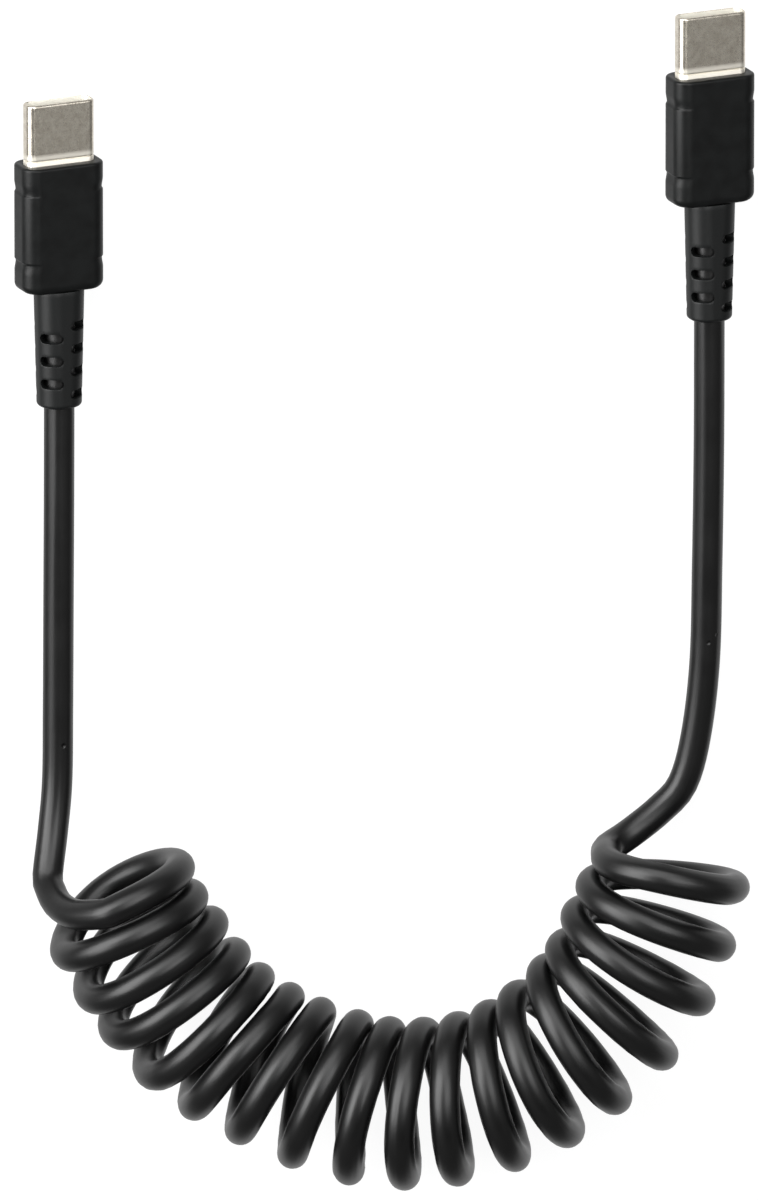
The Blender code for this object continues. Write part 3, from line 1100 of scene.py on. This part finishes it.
def makeRelief(side, settings, material):
    matrix = plugMatrix(side)
    end = -housingSettings["length"] - settings["length"]
    bore = cordSettings["diameter"] / 2 + settings["boreGap"]
    length = settings["length"]
    edge = settings["boreEdge"]
    levels = roundedEdge(settings["endEdge"], settings["endSteps"])
    count = settings["rings"]
    first = settings["endEdge"] + 2 * plugPose["support"]
    top = length - settings["seatGap"]
    levels += [(first + (top - first) * step / count, 0.0) for step in range(count + 1)]
    angles = [2 * pi * step / settings["around"] for step in range(settings["around"])]
    endThickness = settings["endThickness"]
    outer = []
    for back, inset in levels:
        share = min(back / length, 1.0)
        width = settings["endWidth"] + share * (settings["rootWidth"] - settings["endWidth"])
        thickness = endThickness + share * (settings["rootThickness"] - endThickness)
        outer.append([
            Vector((cos(a), 0, sin(a))) * (sectionRadius(a, width, thickness, settings["corner"]) - inset)
            + Vector((0, end + back, 0))
            for a in angles
        ])
    innerLevels = [
        (top, bore), (edge, bore), (edge * arcShare, bore + edge * arcShare), (0.0, bore + edge),
    ]
    inner = [
        [Vector((radius * cos(a), end + back, radius * sin(a))) for a in angles]
        for back, radius in innerLevels
    ]
    sleeve = loftRings("strainRelief" + side.title(), outer + inner, material, side, closed=True)
    cutters = bmesh.new()
    for angle, height in slotPlaces(settings):
        cutter = slotCutter(settings, angle, end + height, matrix)
        part = bpy.data.meshes.new("slot")
        cutter.to_mesh(part)
        cutter.free()
        cutters.from_mesh(part)
        bpy.data.meshes.remove(part)
    slots = objectFromBmesh("slots", cutters, material)
    cut = sleeve.modifiers.new("slots", "BOOLEAN")
    cut.operation = "DIFFERENCE"
    cut.object = slots
    rim = sleeve.modifiers.new("slotEdges", "BEVEL")
    rim.width = settings["slotEdge"]
    rim.segments = 2
    rim.limit_method = "ANGLE"
    rim.angle_limit = settings["slotAngle"]
    applyModifiers(sleeve)
    bpy.data.objects.remove(slots, do_unlink=True)
    sleeve.data.shade_smooth()
    sleeve.data.set_sharp_from_angle(angle=sharpAngle)
    takePlace(sleeve, "strain_relief", "strain_relief_" + side)


# TPE, overmoulded: soft and slightly dull
def reliefMaterial(finish):
    material, tree, shader = newMaterial("blackOvermouldedTpe")
    shader.inputs["Base Color"].default_value = hexColour(finish["colour"])
    shader.inputs["Specular IOR Level"].default_value = finish["specular"]
    place = addNode(tree, "ShaderNodeTexCoord")
    grain = addNode(
        tree, "ShaderNodeTexNoise", {"Scale": 1 / finish["grain"], "Detail": 2.0},
        {"Vector": place.outputs["Object"]},
    )
    relief = addNode(
        tree, "ShaderNodeBump", {"Strength": 0.25, "Distance": finish["grainDepth"]},
        {"Height": grain.outputs["Fac"]},
    )
    glossiest, dullest = finish["roughness"]
    haze = addNode(
        tree, "ShaderNodeMapRange", {"To Min": glossiest, "To Max": dullest},
        {"Value": grain.outputs["Fac"]},
    )
    tree.links.new(haze.outputs["Result"], shader.inputs["Roughness"])
    tree.links.new(relief.outputs["Normal"], shader.inputs["Normal"])
    return material


reliefFinish = {
    "colour": "#060808",
    "specular": 0.4,
    "roughness": (0.42, 0.54),
    "grain": 0.18 * mm,
    "grainDepth": 0.015 * mm,
}
nickel = nickelMaterial(nickelFinish)
innerNickel = innerNickelMaterial(innerNickelFinish)
polymer = blockMaterial(blockFinish)
gold = goldMaterial(goldFinish)
grainedAbs = housingMaterial(housingFinish)
tpe = reliefMaterial(reliefFinish)
for side in sides:
    makeShell(side, shellSettings, nickel, innerNickel)
    makeContactBlock(side, blockSettings, polymer, gold)
    makeHousing(side, housingSettings, grainedAbs)
    makeRelief(side, reliefSettings, tpe)
    print("plug made:", side)


# Stage: a plain white table and soft lights

stageSettings = {
    "floorSize": 8.0,
    "floorColour": "#646464",
    "floorGlow": 0.93,  # nearly white by itself, so the cable leaves only a faint shadow
    # how bright the room is at each height, from straight down at -1 to straight up at 1
    "levels": (
        (-1.0, 0.95), (-0.5, 0.9), (-0.3, 0.25), (-0.1, 0.14), (0.3, 0.18), (0.6, 0.28), (0.9, 0.1),
    ),
    "darkPatch": Vector((0.40, -0.29, 0.87)),  # a dark part of the room, right of the zenith
    "patchSize": radians(30),
    "patchLevel": 0.02,
    "lampTarget": Vector((0.0, -0.05, 0.0)),
}


def makeFloor(settings):
    half = settings["floorSize"] / 2
    mesh = bpy.data.meshes.new("tableTop")
    corners = [(-half, -half, 0), (half, -half, 0), (half, half, 0), (-half, half, 0)]
    mesh.from_pydata(corners, [], [(0, 1, 2, 3)])
    material, tree, shader = newMaterial("whiteTable")
    shader.inputs["Base Color"].default_value = hexColour(settings["floorColour"])
    shader.inputs["Roughness"].default_value = 0.9
    shader.inputs["Specular IOR Level"].default_value = 0.0
    shader.inputs["Emission Color"].default_value = hexColour("#ffffff")
    shader.inputs["Emission Strength"].default_value = settings["floorGlow"]
    mesh.materials.append(material)
    floor = bpy.data.objects.new("tableTop", mesh)
    floor.visible_glossy = False  # the glossy sides get the room's own lower half instead
    bpy.context.scene.collection.objects.link(floor)


# A grey room over a white table, dark along the horizon and towards the ceiling
def makeWorld(settings):
    world = bpy.data.worlds.new("paleRoom")
    world.use_nodes = True
    tree = world.node_tree
    direction = addNode(tree, "ShaderNodeTexCoord")
    parts = addNode(tree, "ShaderNodeSeparateXYZ", links={"Vector": direction.outputs["Generated"]})
    share = addNode(
        tree, "ShaderNodeMapRange", {"From Min": -1.0, "From Max": 1.0}, {"Value": parts.outputs["Z"]}
    )
    levels = addNode(tree, "ShaderNodeValToRGB", links={"Fac": share.outputs["Result"]})
    while len(levels.color_ramp.elements) < len(settings["levels"]):
        levels.color_ramp.elements.new(0.5)
    for stop, (height, level) in zip(levels.color_ramp.elements, settings["levels"]):
        stop.position = (height + 1) / 2
        stop.color = (level, level, level, 1.0)
    towards = addNode(
        tree, "ShaderNodeVectorMath", {1: settings["darkPatch"].normalized()},
        {0: direction.outputs["Generated"]}, operation="DOT_PRODUCT",
    )
    patch = addNode(
        tree, "ShaderNodeMapRange", {"From Min": cos(settings["patchSize"]), "From Max": 1.0},
        {"Value": towards.outputs["Value"]}, interpolation_type="SMOOTHERSTEP",
    )
    level = addNode(
        tree, "ShaderNodeMix", {"B": settings["patchLevel"]},
        {"Factor": patch.outputs["Result"], "A": levels.outputs["Color"]}, data_type="FLOAT",
    )
    background = tree.nodes["Background"]
    tree.links.new(level.outputs["Result"], background.inputs["Color"])
    bpy.context.scene.world = world


# Each softbox has its direction from the object, how far off it is, how wide and high, and how
# bright its face is, with the floor's glow as 1
lampSettings = {
    "softboxBehind": {
        "towards": Vector((-0.08, 0.75, 0.65)), "distance": 0.85, "size": (0.80, 0.60), "glow": 3.0,
    },
    "softboxLeft": {
        "towards": Vector((-0.74, 0.24, 0.63)), "distance": 0.65, "size": (0.62, 0.50), "glow": 7.0,
    },
    "softboxRight": {
        "towards": Vector((0.44, 0.28, 0.85)), "distance": 0.70, "size": (0.36, 0.46), "glow": 4.5,
    },
}


def makeSoftbox(name, settings):
    wide, high = settings["size"]
    data = bpy.data.lights.new(name, "AREA")
    data.shape = "RECTANGLE"
    data.size, data.size_y = wide, high
    data.energy = settings["glow"] * pi * wide * high
    lamp = bpy.data.objects.new(name, data)
    target = stageSettings["lampTarget"]
    lamp.location = target + settings["towards"].normalized() * settings["distance"]
    lamp.rotation_mode = "QUATERNION"
    lamp.rotation_quaternion = (target - lamp.location).to_track_quat("-Z", "Y")
    lamp.visible_camera = False
    bpy.context.scene.collection.objects.link(lamp)


makeFloor(stageSettings)
makeWorld(stageSettings)
for name, settings in lampSettings.items():
    makeSoftbox(name, settings)
bpy.context.scene.view_settings.view_transform = "Standard"
print("stage made")
